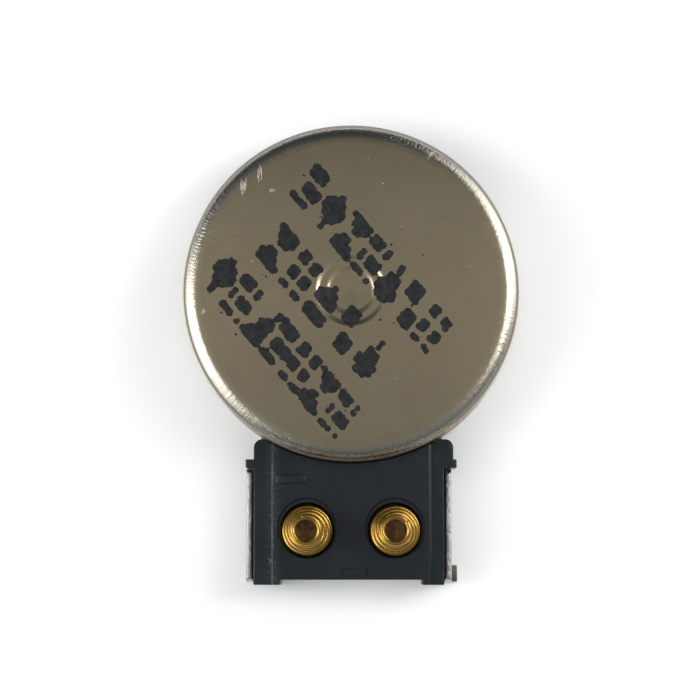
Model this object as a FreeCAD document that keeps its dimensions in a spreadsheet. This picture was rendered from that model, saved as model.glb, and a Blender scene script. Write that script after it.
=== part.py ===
"""Coin vibration motor with a spring-contact tail, as a parametric FreeCAD document.

A flat steel can holds a brushed rotor whose weight sits to one side of the shaft, so that it shakes as it spins.
The base plate runs on past the can as a tail. A black plastic block sits on the tail between two upturned flanges,
and two gold-plated coil springs stand in wells in the block and press on the pads of a circuit board.

Millimetres and degrees. The origin is on the shaft's axis at the underside of the base plate, +Z points up out
of the cover, and the tail points along -Y.
"""

import FreeCAD
import Part
import Sketcher

import math
import os
import re

SIZES = {
    # The can and its shaft dimple
    "can_radius": 5.0,
    "can_height": 3.0,
    "can_wall": 0.2,
    "can_corner": 0.5,
    "dimple_mouth": 1.05,
    "dimple_floor": 0.55,
    "dimple_depth": 0.08,
    "dimple_round": 0.4,
    "notch_width": 4.8,
    "notch_height": 0.14,
    # The base plate, its tail and its shaft boss
    "plate": 0.2,
    "neck_width": 5.5,
    "tail_end": 8.55,
    "tail_recess": 0.12,
    "flange_start": 5.2,
    "flange_face": 2.93,
    "right_flange_face": 2.79,
    "flange_height": 1.6,
    "bend_round": 0.15,
    "foot_start": 8.05,
    "foot_reach": 3.2,
    "boss_radius": 0.75,
    "boss_top": 1.12,
    "boss_round": 0.08,
    "shaft_radius": 0.4,
    "shaft_foot": 0.1,
    # The flexible circuit, its copper tracks and the brushes
    "flex": 0.08,
    "flex_radius": 3.9,
    "flex_hole": 0.9,
    "flex_tail_width": 4.6,
    "flex_tail_end": 8.2,
    "track": 0.03,
    "track_width": 0.4,
    "pad_radius": 0.78,
    "brush_spacing": 2.4,
    "brush_width": 0.36,
    "brush_strip": 0.05,
    "brush_slit": 0.08,
    "brush_back": 1.15,
    "brush_heel": 0.7,
    "brush_knee": 0.5,
    "brush_tip": 0.82,
    "brush_gap": 0.01,
    # The magnet and the washers
    "magnet_hole": 1.9,
    "magnet_radius": 3.8,
    "magnet_height": 0.8,
    "washer_hole": 0.43,
    "washer_radius": 0.8,
    "washer": 0.08,
    # The rotor
    "segment_bottom": 1.26,
    "segment": 0.04,
    "segment_inner": 0.95,
    "segment_outer": 1.85,
    "segment_gap": 0.08,
    "segment_count": 6,
    "board": 0.15,
    "board_radius": 4.4,
    "board_hub": 2.05,
    "board_edge": 0.8,
    "frame_radius": 4.5,
    "frame_height": 1.0,
    "frame_hub": 1.45,
    "frame_edge": 0.6,
    "bearing_hole": 0.42,
    "bearing_radius": 0.75,
    "bearing_bottom": 1.22,
    "bearing_top": 2.6,
    "coil_orbit": 2.75,
    "coil_angle": 62,
    "coil_radius": 1.25,
    "coil_hole": 0.45,
    "coil_height": 0.85,
    "weight_inner": 2.75,
    "weight_half_angle": 32,
    "weight_height": 1.1,
    "solder_orbit": 1.76,
    "solder_radius": 0.17,
    "solder_height": 0.08,
    # The contact block
    "block_width": 5.8,
    "block_top": 2.0,
    "block_north": 4.32,
    "block_south": 8.49,
    "block_corner": 0.25,
    "block_round": 0.08,
    "can_clearance": 0.03,
    "skirt_width": 0.55,
    "ledge_width": 0.56,
    "ledge_depth": 0.16,
    "ear_north": 4.92,
    "ear_south": 5.17,
    "ear_reach": 0.24,
    "ear_bottom": 0.7,
    "right_horn_reach": 0.14,
    "toe_width": 0.8,
    "toe_reach": 0.15,
    "bar_length": 0.92,
    "bar_width": 0.28,
    "bar_height": 0.06,
    "bar_west": 2.25,
    "bar_south": 5.65,
    "gate_west": 0.3,
    "gate_width": 0.8,
    "gate_south": 8.41,
    "gate_length": 0.25,
    "gate_depth": 0.1,
    # The contact springs and their wells
    "well_radius": 0.82,
    "well_south": 7.02,
    "mouth_radius": 0.88,
    "mouth_south": 6.97,
    "mouth_depth": 0.1,
    "mouth_chamfer": 0.05,
    "spring_spacing": 2.6,
    "spring_south": 7.05,
    "wire": 0.15,
    "spring_body": 0.7,
    "spring_tip": 0.39,
    "spring_top": 3.6,
    "dead_turns": 1.25,
    "body_turns": 2.5,
    "cone_turns": 3.0,
    "tip_turns": 1.0,
    # Small edge breaks on the inner pieces
    "edge_break": 0.04,
}
SPRING_POINTS_PER_TURN = 24
TINY = 1e-4

# Levels that several sub-parts share
FLEX_TOP = "(plate + flex)"
CEILING = "(can_height - can_wall)"
DIMPLE_UNDERSIDE = "(can_height - can_wall - dimple_depth)"
BOARD_BOTTOM = "(segment_bottom + segment)"
BOARD_TOP = "(segment_bottom + segment + board)"

document = FreeCAD.newDocument("CoinMotor")
sheet = document.addObject("Spreadsheet::Sheet", "Sizes")
subparts = []


# Sheet and expressions


def fill_sheet():
    """Writes every driving dimension into the sheet: its name, and its value under that name as an alias."""
    for row, (alias, number) in enumerate(SIZES.items(), start=1):
        sheet.set(f"A{row}", alias)
        sheet.set(f"B{row}", str(number))
        sheet.setAlias(f"B{row}", alias)
    document.recompute()


def linked(expression):
    """The expression with each alias written as Sizes.alias."""
    return re.sub(
        r"[a-z]\w*",
        lambda word: "Sizes." + word.group() if word.group() in SIZES else word.group(),
        str(expression),
    )


def value(expression):
    """What an expression of aliases comes to."""
    return float(sheet.evalExpression(linked(expression)))


def bind(thing, **properties):
    """Binds each named property of an object to an expression of aliases."""
    for name, expression in properties.items():
        thing.setExpression(name, linked(expression))


# Sketches


def sketch_on(body, name, plane, height="0"):
    """An empty sketch on one of the body's own origin planes, moved along the plane's normal by height."""
    sketch = body.newObject("Sketcher::SketchObject", name)
    support = next(f for f in body.Origin.OriginFeatures if f.Role == plane)
    sketch.AttachmentSupport = [(support, "")]
    sketch.MapMode = "FlatFace"
    sketch.AttachmentOffset = FreeCAD.Placement(FreeCAD.Vector(0, 0, value(height)), FreeCAD.Rotation())
    sketch.setExpression("AttachmentOffset.Base.z", linked(height))
    return sketch


def drive(sketch, kind, geometry, point, expression):
    """Adds one dimension to a sketch and binds it to an expression."""
    places = (geometry,) if point is None else (geometry, point)
    index = sketch.addConstraint(Sketcher.Constraint(kind, *places, value(expression)))
    sketch.setExpression(f"Constraints[{index}]", linked(expression))


def place_point(sketch, geometry, point, x, y):
    """Fixes one point of a sketch by its two coordinates."""
    drive(sketch, "DistanceX", geometry, point, x)
    drive(sketch, "DistanceY", geometry, point, y)


def draw_outline(sketch, corners):
    """Draws a closed chain of straight lines through corners, each an (x, y) pair of expressions."""
    places = [FreeCAD.Vector(value(x), value(y), 0) for x, y in corners]
    lines = [
        sketch.addGeometry(Part.LineSegment(here, there), False)
        for here, there in zip(places, places[1:] + places[:1])
    ]
    for line, following in zip(lines, lines[1:] + lines[:1]):
        sketch.addConstraint(Sketcher.Constraint("Coincident", line, 2, following, 1))
    for line, (x, y) in zip(lines, corners):
        place_point(sketch, line, 1, x, y)


def draw_circle(sketch, x, y, radius):
    """Draws one circle whose centre and radius are expressions."""
    centre = FreeCAD.Vector(value(x), value(y), 0)
    circle = sketch.addGeometry(Part.Circle(centre, FreeCAD.Vector(0, 0, 1), value(radius)), False)
    place_point(sketch, circle, 3, x, y)
    drive(sketch, "Radius", circle, None, radius)


def draw_sector(sketch, inner, outer, half_angle):
    """Draws a ring sector about the origin, half_angle to each side of +Y."""
    turn = math.radians(value(half_angle))
    arcs = []
    for radius in (inner, outer):
        whole = Part.Circle(FreeCAD.Vector(), FreeCAD.Vector(0, 0, 1), value(radius))
        arc = sketch.addGeometry(Part.ArcOfCircle(whole, math.pi / 2 - turn, math.pi / 2 + turn), False)
        sketch.addConstraint(Sketcher.Constraint("Coincident", arc, 3, -1, 1))
        drive(sketch, "Radius", arc, None, radius)
        drive(sketch, "DistanceX", arc, 1, f"({radius}) * sin({half_angle})")
        drive(sketch, "DistanceX", arc, 2, f"-({radius}) * sin({half_angle})")
        arcs.append(arc)
    for end in (1, 2):
        line = sketch.addGeometry(
            Part.LineSegment(sketch.getPoint(arcs[0], end), sketch.getPoint(arcs[1], end)), False
        )
        for line_end, arc in zip((1, 2), arcs):
            sketch.addConstraint(Sketcher.Constraint("Coincident", line, line_end, arc, end))


def draw(sketch, outlines=(), circles=()):
    """Draws every outline and every (x, y, radius) circle in one sketch."""
    for corners in outlines:
        draw_outline(sketch, corners)
    for x, y, radius in circles:
        draw_circle(sketch, x, y, radius)


def rectangle(west, east, south, north):
    """The corners of a rectangle, anticlockwise."""
    return [(west, south), (east, south), (east, north), (west, north)]


# Features


def new_body(label):
    """A PartDesign body that becomes a sub-part of its own."""
    body = document.addObject("PartDesign::Body", label)
    body.Label = label
    subparts.append(body)
    return body


def add_pad(body, name, bottom, height, outlines=(), circles=(), sector=None):
    """Pads outlines, circles or a sector upwards from the level called bottom."""
    sketch = sketch_on(body, name + "Sketch", "XY_Plane", bottom)
    draw(sketch, outlines, circles)
    if sector:
        draw_sector(sketch, *sector)
    pad = body.newObject("PartDesign::Pad", name)
    pad.Profile = (sketch, [""])
    bind(pad, Length=height)
    document.recompute()
    return pad


def cut_pocket(body, name, top, depth, outlines=(), circles=(), sector=None):
    """Cuts outlines, circles or a sector downwards from the level called top."""
    before = body.Shape.Volume
    sketch = sketch_on(body, name + "Sketch", "XY_Plane", top)
    draw(sketch, outlines, circles)
    if sector:
        draw_sector(sketch, *sector)
    pocket = body.newObject("PartDesign::Pocket", name)
    pocket.Profile = (sketch, [""])
    bind(pocket, Length=depth)
    document.recompute()
    if body.Shape.Volume > before - TINY:
        raise RuntimeError(f"{name} cuts nothing from {body.Label}")
    return pocket


def revolve(body, name, corners):
    """Turns an (r, z) outline once round the Z axis."""
    sketch = sketch_on(body, name + "Sketch", "XZ_Plane")
    draw_outline(sketch, corners)
    revolution = body.newObject("PartDesign::Revolution", name)
    revolution.Profile = (sketch, [""])
    revolution.ReferenceAxis = (sketch, ["V_Axis"])
    revolution.Angle = 360
    document.recompute()
    return revolution


def soften(body, kind, name, size, wanted):
    """Puts a Fillet or a Chamfer of one size on the edges that wanted picks."""
    base = body.Tip
    edges = [f"Edge{number}" for number, edge in enumerate(base.Shape.Edges, start=1) if wanted(edge)]
    if not edges:
        raise RuntimeError(f"{name} finds no edge on {body.Label}")
    feature = body.newObject("PartDesign::" + kind, name)
    feature.Base = (base, edges)
    bind(feature, **{"Radius" if kind == "Fillet" else "Size": size})
    document.recompute()
    return feature


def rim(*rims):
    """Picks circular edges by (radius, level), wherever their centres are."""
    wanted = [(value(radius), value(level)) for radius, level in rims]

    def picks(edge):
        if not isinstance(edge.Curve, Part.Circle):
            return False
        here = (edge.Curve.Radius, edge.Curve.Center.z)
        return any(math.dist(here, there) < TINY for there in wanted)

    return picks


def upright(*corners):
    """Picks upright straight edges by (distance from the YZ plane, y)."""
    wanted = [(value(x), value(y)) for x, y in corners]

    def picks(edge):
        box = edge.BoundBox
        if box.XLength > TINY or box.YLength > TINY:
            return False
        return any(math.dist((abs(box.XMin), box.YMin), there) < TINY for there in wanted)

    return picks


def lengthwise(x, level):
    """Picks straight edges along Y on either side of the YZ plane, by that distance and by level."""

    def picks(edge):
        box = edge.BoundBox
        if box.XLength > TINY or box.ZLength > TINY:
            return False
        return math.dist((abs(box.XMin), box.ZMin), (value(x), value(level))) < TINY

    return picks


def crosswise(y, level):
    """Picks straight edges along X, by y and by level."""

    def picks(edge):
        box = edge.BoundBox
        if box.YLength > TINY or box.ZLength > TINY:
            return False
        return math.dist((box.YMin, box.ZMin), (value(y), value(level))) < TINY

    return picks


def ring(label, bottom, height, hole, radius):
    """A plain ring about the shaft."""
    body = new_body(label)
    add_pad(body, "Ring", bottom, height, circles=[("0", "0", radius), ("0", "0", hole)])
    return body


# The can and the base plate


def make_cover():
    """The drawn steel can: a flat top with a shallow dimple over the shaft, a round corner and a straight wall."""
    body = new_body("cover_can")
    revolve(
        body,
        "Cup",
        [
            ("0", DIMPLE_UNDERSIDE),
            ("dimple_floor", DIMPLE_UNDERSIDE),
            ("dimple_mouth", CEILING),
            ("can_radius - can_wall", CEILING),
            ("can_radius - can_wall", "plate"),
            ("can_radius", "plate"),
            ("can_radius", "can_height"),
            ("dimple_mouth", "can_height"),
            ("dimple_floor", "can_height - dimple_depth"),
            ("0", "can_height - dimple_depth"),
        ],
    )
    soften(body, "Fillet", "OuterCorner", "can_corner", rim(("can_radius", "can_height")))
    soften(body, "Fillet", "InnerCorner", "can_corner - can_wall", rim(("can_radius - can_wall", CEILING)))
    dimple_edges = rim(("dimple_mouth", "can_height"), ("dimple_floor", "can_height - dimple_depth"))
    soften(body, "Fillet", "DimpleEdges", "dimple_round", dimple_edges)
    notch = rectangle("-notch_width / 2", "notch_width / 2", "-can_radius - can_wall", "-can_radius / 2")
    cut_pocket(body, "FlexNotch", "plate + notch_height", "notch_height", [notch])


def tail_side(side, face):
    """One side of the tail's outline, from the disc southwards: the neck, the flange's root and the foot."""
    return [
        (f"{side} * neck_width / 2", "-can_radius / 2"),
        (f"{side} * neck_width / 2", "-flange_start"),
        (f"{side} * ({face} + plate)", "-flange_start"),
        (f"{side} * ({face} + plate)", "-foot_start"),
        (f"{side} * foot_reach", "-foot_start"),
        (f"{side} * foot_reach", "-tail_end"),
    ]


def make_base_plate():
    """The stamped plate under the can: its tail, two upturned flanges, the right one further in, feet and boss."""
    body = new_body("base_plate")
    add_pad(body, "Disc", "0", "plate", circles=[("0", "0", "can_radius")])
    tail = tail_side(1, "right_flange_face") + tail_side(-1, "flange_face")[::-1]
    add_pad(body, "Tail", "0", "plate", [tail])
    east = rectangle("right_flange_face", "right_flange_face + plate", "-tail_end", "-flange_start")
    west = rectangle("-flange_face - plate", "-flange_face", "-tail_end", "-flange_start")
    add_pad(body, "Flanges", "0", "flange_height", [east, west])
    add_pad(body, "Boss", "plate", "boss_top - plate", circles=[("0", "0", "boss_radius")])
    cut_pocket(body, "ShaftSeat", "boss_top", "boss_top - shaft_foot", circles=[("0", "0", "shaft_radius")])
    soften(body, "Fillet", "BossRoot", "boss_round", rim(("boss_radius", "plate")))
    between_toes = "block_width / 2 - toe_width"
    recess = rectangle(f"-({between_toes})", between_toes, "-tail_end - 1", "-tail_end + tail_recess")
    cut_pocket(body, "TailRecess", "plate", "plate", [recess])
    soften(body, "Fillet", "LeftBend", "bend_round", lengthwise("flange_face + plate", "0"))
    soften(body, "Fillet", "RightBend", "bend_round", lengthwise("right_flange_face + plate", "0"))
    for name, y in (("NorthCorners", "-flange_start"), ("SouthCorners", "-tail_end")):
        soften(body, "Fillet", name, "bend_round", crosswise(y, "flange_height"))


def make_shaft():
    """The fixed steel pin: its foot is pressed into the plate's boss and its top meets the cover's dimple."""
    body = new_body("shaft")
    length = f"{DIMPLE_UNDERSIDE} - shaft_foot"
    add_pad(body, "Pin", "shaft_foot", length, circles=[("0", "0", "shaft_radius")])
    soften(body, "Chamfer", "TopEdge", "edge_break", rim(("shaft_radius", DIMPLE_UNDERSIDE)))


# The magnet and the washers


def make_magnet():
    """The ring magnet, bonded to the flexible circuit under the rotor."""
    body = ring("ring_magnet", FLEX_TOP, "magnet_height", "magnet_hole", "magnet_radius")
    top = f"{FLEX_TOP} + magnet_height"
    edges = rim(
        ("magnet_hole", FLEX_TOP), ("magnet_hole", top), ("magnet_radius", FLEX_TOP), ("magnet_radius", top)
    )
    soften(body, "Chamfer", "Edges", "edge_break", edges)


def make_washers():
    """Two thin plastic washers that carry the rotor's end thrust: one on the boss and one under the dimple."""
    ring("lower_washer", "boss_top", "washer", "washer_hole", "washer_radius")
    ring("upper_washer", f"{DIMPLE_UNDERSIDE} - washer", "washer", "washer_hole", "washer_radius")


# The flexible circuit, its tracks and the brushes


def track_shapes(side, end):
    """One copper track as an outline and a circle: a strip from the spring's pad to y = end, and the pad."""
    middle = f"{side} * brush_spacing / 2"
    strip = rectangle(f"{middle} - track_width / 2", f"{middle} + track_width / 2", "-spring_south", end)
    pad = (f"{side} * spring_spacing / 2", "-spring_south", "pad_radius")
    return strip, pad


TRACK_ENDS = {"left": (-1, "brush_back"), "right": (1, "-brush_heel + track_width / 4")}


def make_flex():
    """The polyimide circuit under the magnet, whose tail runs out of the can and under the contact block."""
    body = new_body("base_flex")
    add_pad(body, "Disc", "plate", "flex", circles=[("0", "0", "flex_radius")])
    tail = rectangle("-flex_tail_width / 2", "flex_tail_width / 2", "-flex_tail_end", "-flex_radius / 2")
    add_pad(body, "Tail", "plate", "flex", [tail])
    cut_pocket(body, "BossHole", FLEX_TOP, "flex", circles=[("0", "0", "flex_hole")])
    for label, (side, end) in TRACK_ENDS.items():
        strip, pad = track_shapes(side, end)
        cut_pocket(body, label.title() + "StripBed", FLEX_TOP, "track", [strip])
        cut_pocket(body, label.title() + "PadBed", FLEX_TOP, "track", circles=[pad])


def make_tracks():
    """The two copper tracks, flush in the circuit's top, each with the round pad that a spring stands on."""
    for label, (side, end) in TRACK_ENDS.items():
        strip, pad = track_shapes(side, end)
        body = new_body(label + "_flex_track")
        add_pad(body, "Strip", f"{FLEX_TOP} - track", "track", [strip])
        add_pad(body, "Pad", f"{FLEX_TOP} - track", "track", circles=[pad])


def make_brush(label, turn):
    """One leaf brush: a foot on its track and a slit arm that rises beside the boss to the commutator."""
    body = new_body(label)
    foot = FLEX_TOP
    tip = "segment_bottom - brush_gap - brush_strip"
    corners = [
        ("-brush_back", foot),
        ("-brush_heel", foot),
        ("brush_knee", tip),
        ("brush_tip", tip),
        ("brush_tip", f"{tip} + brush_strip"),
        ("brush_knee - brush_strip / 2", f"{tip} + brush_strip"),
        ("-brush_heel - brush_strip / 2", f"{foot} + brush_strip"),
        ("-brush_back", f"{foot} + brush_strip"),
    ]
    sketch = sketch_on(body, "StripSketch", "YZ_Plane", "brush_spacing / 2 - brush_width / 2")
    draw_outline(sketch, corners)
    pad = body.newObject("PartDesign::Pad", "Strip")
    pad.Profile = (sketch, [""])
    bind(pad, Length="brush_width")
    document.recompute()
    middle = "brush_spacing / 2"
    slit = rectangle(f"{middle} - brush_slit / 2", f"{middle} + brush_slit / 2", "0", "brush_tip + brush_slit")
    cut_pocket(body, "Slit", "segment_bottom", "segment_bottom", [slit])
    body.Placement = FreeCAD.Placement(FreeCAD.Vector(), FreeCAD.Rotation(FreeCAD.Vector(0, 0, 1), turn))


def solder_dots(label, bottom, places):
    """A group of solder dots, each a low cone with a flat top, at (x, y) places."""
    dots = []
    for number, (x, y) in enumerate(places, start=1):
        dot = document.addObject("Part::Cone", f"{label}_{number}")
        bind(dot, Radius1="solder_radius", Radius2="solder_radius / 2", Height="solder_height")
        dot.setExpression("Placement.Base.x", linked(x))
        dot.setExpression("Placement.Base.y", linked(y))
        dot.setExpression("Placement.Base.z", linked(bottom))
        dots.append(dot)
    group = document.addObject("Part::Compound", label)
    group.Label = label
    group.Links = dots
    subparts.append(group)
    document.recompute()


# The contact block


def make_block():
    """The moulded plastic block on the tail, with a well for each spring and room for the right flange."""
    body = new_body("contact_block")
    height = f"block_top - {FLEX_TOP}"
    half = "block_width / 2"
    add_pad(body, "Core", FLEX_TOP, height, [rectangle(f"-{half}", half, "-block_south", "-block_north")])
    skirts = [
        rectangle(f"{half} - skirt_width", half, "-block_south", "-block_north"),
        rectangle(f"-{half}", f"-{half} + skirt_width", "-block_south", "-block_north"),
    ]
    add_pad(body, "Skirts", "plate", "flex", skirts)
    toes = [
        rectangle(f"{half} - toe_width", half, "-block_south - toe_reach", "-block_south"),
        rectangle(f"-{half}", f"-{half} + toe_width", "-block_south - toe_reach", "-block_south"),
    ]
    add_pad(body, "Toes", "plate", "block_top - plate", toes)
    soften(body, "Fillet", "HornCorners", "block_corner", upright((half, "-block_north")))
    soften(body, "Fillet", "ToeCorners", "block_round", upright((half, "-block_south - toe_reach")))
    right_edge = f"{half} + right_horn_reach"
    right_horn = rectangle(f"{half} - ear_reach", right_edge, "-ear_south", "-block_north")
    add_pad(body, "RightHorn", "ear_bottom", "block_top - ear_bottom", [right_horn])
    soften(body, "Fillet", "RightHornCorner", "block_corner", upright((right_edge, "-block_north")))
    ears = [
        rectangle(f"{half} - ear_reach", f"{half} + ear_reach", "-ear_south", "-ear_north"),
        rectangle(f"-{half} - ear_reach", f"-{half} + ear_reach", "-ear_south", "-ear_north"),
    ]
    add_pad(body, "Ears", "ear_bottom", "block_top - ear_bottom", ears)
    soften(body, "Fillet", "EarCorners", "block_round", upright((f"{half} + ear_reach", "-ear_north")))
    ledges = [
        rectangle(f"{half} - ledge_width", "can_radius", "-can_radius * 2", "0"),
        rectangle("-can_radius", f"-{half} + ledge_width", "-can_radius * 2", "0"),
    ]
    cut_pocket(body, "Ledges", "block_top", "ledge_depth", ledges)
    soften(body, "Fillet", "LedgeEdges", "block_round", lengthwise(f"{half} - ledge_width", "block_top"))
    seat = [("0", "0", "can_radius + can_clearance")]
    cut_pocket(body, "CanSeat", "block_top", "block_top", circles=seat)
    beside_flange = rectangle("right_flange_face - can_clearance", "can_radius", "-can_radius * 2", "-ear_south")
    cut_pocket(body, "FlangeRelief", "block_top", "block_top", [beside_flange])
    wells = [(f"{side} * spring_spacing / 2", "-well_south", "well_radius") for side in (-1, 1)]
    cut_pocket(body, "Wells", "block_top", height, circles=wells)
    mouths = [(f"{side} * spring_spacing / 2", "-mouth_south", "mouth_radius") for side in (-1, 1)]
    cut_pocket(body, "WellMouths", "block_top", "mouth_depth", circles=mouths)
    soften(body, "Chamfer", "MouthEdges", "mouth_chamfer", rim(("mouth_radius", "block_top")))
    gate = rectangle("-gate_west", "gate_width - gate_west", "-gate_south", "-gate_south + gate_length")
    cut_pocket(body, "GateRecess", "block_top", "gate_depth", [gate])
    bar = rectangle("-bar_west", "-bar_west + bar_length", "-bar_south", "-bar_south + bar_width")
    add_pad(body, "PolarityBar", "block_top", "bar_height", [bar])


# The contact springs


def spring_centre(turns):
    """A point of the spring's wire, this many turns up from its foot: a tight coil, a straight body, a cone, a tip."""
    dead, straight = value("dead_turns"), value("body_turns")
    cone, tip = value("cone_turns"), value("tip_turns")
    tight = value("wire * 1.07")
    rise = value(f"spring_top - {FLEX_TOP} - wire")
    pitch = (rise - tight * (dead + tip)) / (straight + cone)
    open_turns = min(max(turns - dead, 0.0), straight + cone)
    height = value("wire / 2") + tight * (turns - open_turns) + pitch * open_turns
    taper = min(max((turns - dead - straight) / cone, 0.0), 1.0)
    radius = value("spring_body") + taper * value("spring_tip - spring_body")
    angle = 2 * math.pi * turns
    return FreeCAD.Vector(radius * math.cos(angle), radius * math.sin(angle), height)


def make_spring(label, side, turn):
    """One gold-plated contact spring, standing on its pad; turn is where its wire starts, in degrees."""
    turns = value("dead_turns + body_turns + cone_turns + tip_turns")
    steps = round(turns * SPRING_POINTS_PER_TURN)
    points = [spring_centre(turns * step / steps) for step in range(steps + 1)]
    curve = Part.BSplineCurve()
    curve.interpolate(points)
    path = Part.Wire([curve.toShape()])
    start = curve.tangent(curve.FirstParameter)[0]
    section = Part.Wire([Part.Circle(points[0], start, value("wire / 2")).toShape()])
    sweep = Part.BRepOffsetAPI.MakePipeShell(path)
    sweep.setFrenetMode(True)
    sweep.add(section)
    sweep.build()
    sweep.makeSolid()
    expected = math.pi * value("wire / 2") ** 2 * path.Length
    print(f"{label}: volume {sweep.shape().Volume:.4f} mm3, wire section times length {expected:.4f} mm3")
    spring = document.addObject("Part::Feature", label)
    spring.Label = label
    spring.Shape = sweep.shape()
    spring.Placement = FreeCAD.Placement(
        FreeCAD.Vector(side * value("spring_spacing / 2"), value("-spring_south"), value(FLEX_TOP)),
        FreeCAD.Rotation(FreeCAD.Vector(0, 0, 1), turn),
    )
    subparts.append(spring)


# The rotor


def make_rotor_board():
    """The rotor's circuit board: a hub disc and a wide lobe on the heavy side, towards +Y."""
    body = new_body("rotor_board")
    bottom = BOARD_BOTTOM
    add_pad(body, "Lobe", bottom, "board", circles=[("0", "0", "board_radius")])
    spare = rectangle("-board_radius - 1", "board_radius + 1", "-board_radius - 1", "-board_edge")
    cut_pocket(body, "LightSide", f"{bottom} + board", "board", [spare])
    add_pad(body, "Hub", bottom, "board", circles=[("0", "0", "board_hub")])
    cut_pocket(body, "BearingHole", f"{bottom} + board", "board", circles=[("0", "0", "bearing_radius")])


def make_commutator():
    """The commutator on the board's underside: a copper ring cut into equal segments."""
    body = new_body("commutator_segments")
    circles = [("0", "0", "segment_outer"), ("0", "0", "segment_inner")]
    add_pad(body, "Ring", "segment_bottom", "segment", circles=circles)
    slit = rectangle("0", "segment_outer + 1", "-segment_gap / 2", "segment_gap / 2")
    pocket = cut_pocket(body, "Slit", "segment_bottom + segment", "segment", [slit])
    pattern = body.newObject("PartDesign::PolarPattern", "Slits")
    pattern.Originals = [pocket]
    pattern.Axis = (pocket.Profile[0], ["N_Axis"])
    pattern.Angle = 360
    bind(pattern, Occurrences="segment_count")
    body.Tip = pattern
    document.recompute()
    if len(body.Shape.Solids) != value("segment_count"):
        raise RuntimeError("the commutator has the wrong number of segments")


def make_rotor_frame():
    """The moulded resin that holds the bearing, the coils and the weight together on the board."""
    body = new_body("rotor_frame")
    bottom = BOARD_TOP
    top = f"{bottom} + frame_height"
    add_pad(body, "Lobe", bottom, "frame_height", circles=[("0", "0", "frame_radius")])
    spare = rectangle("-frame_radius - 1", "frame_radius + 1", "-frame_radius - 1", "-frame_edge")
    cut_pocket(body, "LightSide", top, "frame_height", [spare])
    add_pad(body, "Hub", bottom, "frame_height", circles=[("0", "0", "frame_hub")])
    cut_pocket(body, "BearingHole", top, "frame_height", circles=[("0", "0", "bearing_radius")])
    seats = [(x, y, "coil_radius") for x, y in coil_centres().values()]
    cut_pocket(body, "CoilSeats", top, "frame_height", circles=seats)
    seat = ("weight_inner", "can_radius", "weight_half_angle")
    cut_pocket(body, "WeightSeat", top, "frame_height", sector=seat)


def coil_centres():
    """Where each coil's axis is, as a pair of expressions."""
    y = "coil_orbit * cos(coil_angle)"
    return {"left_coil": ("-coil_orbit * sin(coil_angle)", y), "right_coil": ("coil_orbit * sin(coil_angle)", y)}


def make_coils():
    """The two flat copper coils, one each side of the weight."""
    bottom = BOARD_TOP
    for label, (x, y) in coil_centres().items():
        body = new_body(label)
        add_pad(body, "Winding", bottom, "coil_height", circles=[(x, y, "coil_radius"), (x, y, "coil_hole")])
        edges = rim(("coil_radius", f"{bottom} + coil_height"), ("coil_hole", f"{bottom} + coil_height"))
        soften(body, "Fillet", "TopEdges", "edge_break * 2", edges)


def make_weight():
    """The tungsten weight at the rotor's rim, which puts its centre of mass off the shaft."""
    body = new_body("eccentric_weight")
    bottom = BOARD_TOP
    sector = ("weight_inner", "frame_radius", "weight_half_angle")
    add_pad(body, "Sector", bottom, "weight_height", sector=sector)
    top = f"{bottom} + weight_height"
    soften(body, "Chamfer", "TopEdges", "edge_break", rim(("frame_radius", top), ("weight_inner", top)))


def make_bearing():
    """The sintered sleeve that turns on the shaft."""
    body = ring("rotor_bearing", "bearing_bottom", "bearing_top - bearing_bottom", "bearing_hole", "bearing_radius")
    edges = rim(("bearing_radius", "bearing_bottom"), ("bearing_radius", "bearing_top"))
    soften(body, "Chamfer", "Edges", "edge_break", edges)


def coil_solder_places():
    """Four places for the coils' wire ends, on the board beyond the hub, on the light side."""
    return [
        (f"solder_orbit * sin({angle})", f"-solder_orbit * cos({angle})")
        for angle in (-54, -18, 18, 54)
    ]


# Checks and export


def check_document():
    """Stops if any object failed, or any sub-part's shape is missing or not valid."""
    for thing in document.Objects:
        if {"Invalid", "Error"} & set(thing.State):
            raise RuntimeError(f"{thing.Label} is {thing.State}")
    for thing in subparts:
        if thing.Shape.isNull() or not thing.Shape.isValid() or not thing.Shape.Solids:
            raise RuntimeError(f"{thing.Label} has no valid shape")


def export_parts():
    """Writes each sub-part to parts/LABEL.step."""
    os.makedirs("parts", exist_ok=True)
    for thing in subparts:
        thing.Shape.exportStep(f"parts/{thing.Label}.step")
        print(f"{thing.Label}: {len(thing.Shape.Solids)} solids, {thing.Shape.Volume:.4f} mm3")


def main():
    fill_sheet()
    make_cover()
    make_base_plate()
    make_shaft()
    make_magnet()
    make_washers()
    make_flex()
    make_tracks()
    make_brush("right_brush", 0)
    make_brush("left_brush", 180)
    foot_middle = "(brush_back + brush_heel) / 2"
    brush_feet = [("brush_spacing / 2", f"-{foot_middle}"), ("-brush_spacing / 2", foot_middle)]
    solder_dots("brush_solder", f"{FLEX_TOP} + brush_strip", brush_feet)
    make_block()
    make_spring("left_contact_spring", -1, 200)
    make_spring("right_contact_spring", 1, 130)
    make_rotor_board()
    make_commutator()
    make_rotor_frame()
    make_coils()
    make_weight()
    make_bearing()
    solder_dots("coil_solder", BOARD_TOP, coil_solder_places())
    document.recompute()
    check_document()
    export_parts()


main()
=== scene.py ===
"""The looks of a coin vibration motor with spring contacts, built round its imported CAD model.

Shapes are made in millimetres and brought to the frame's metres by finish_piece. The shaft's axis is the
Z axis, the underside of the base plate is at z = 0, and the contact tail points along -Y.
"""

import math

import bpy
import numpy as np
from mathutils import Matrix, Vector, noise


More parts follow.
